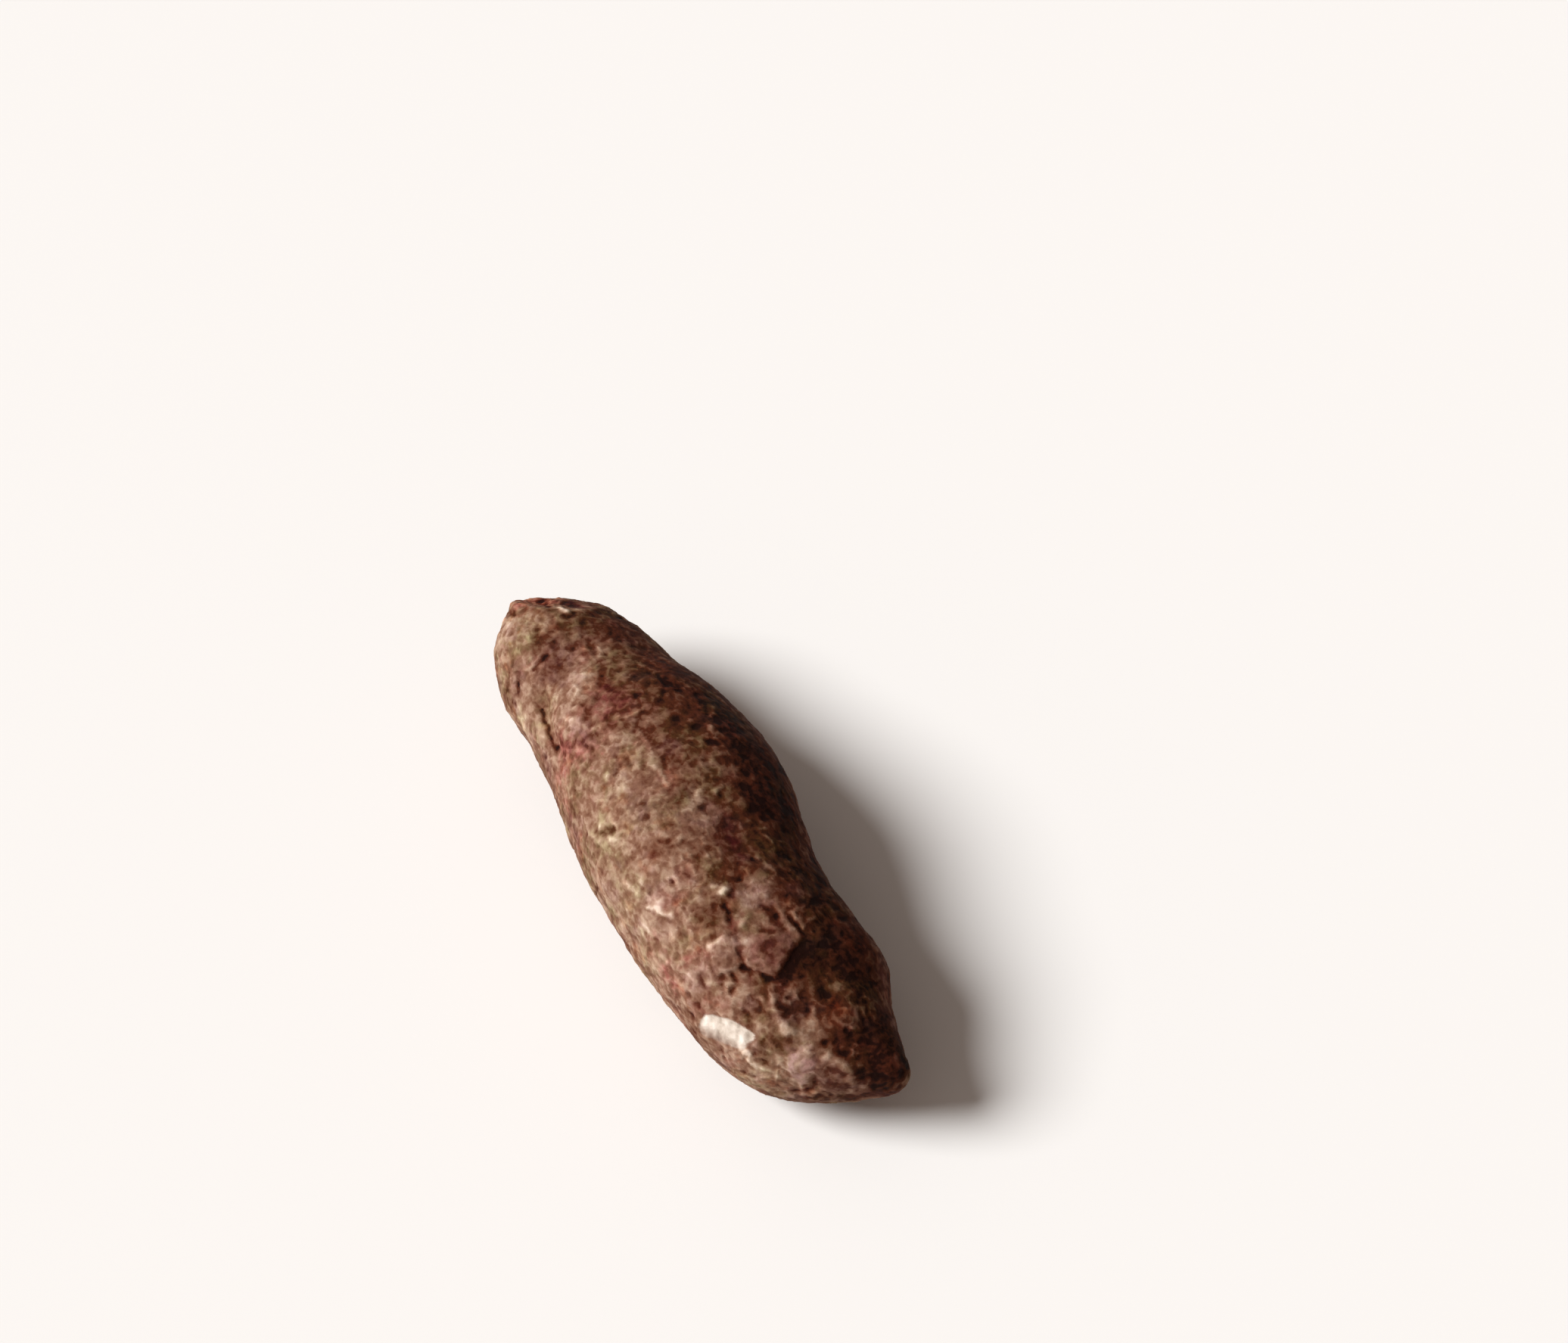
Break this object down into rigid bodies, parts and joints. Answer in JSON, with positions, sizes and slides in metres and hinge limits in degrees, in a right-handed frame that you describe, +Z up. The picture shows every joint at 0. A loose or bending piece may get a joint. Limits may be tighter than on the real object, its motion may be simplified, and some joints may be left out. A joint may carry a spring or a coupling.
{
  "type": "purple yam tuber",
  "caption": "Long whole yam tuber lying on its side, with dusty bark-like brown skin, a narrower crown end with a stem scar and a broad slanting foot end.",
  "frame": {"origin": "middle of the bounding box, on the ground under the tuber", "axes": "+X along the tuber from the crown end to the foot end, +Z up as it lies, +Y across"},
  "size_m": [0.1876, 0.0642, 0.0573],
  "materials": {
    "skin": "dry, rough, dusty bark-like skin"
  },
  "bodies": {
    "root": {"tuber": "skin"}
  },
  "joints": []
}
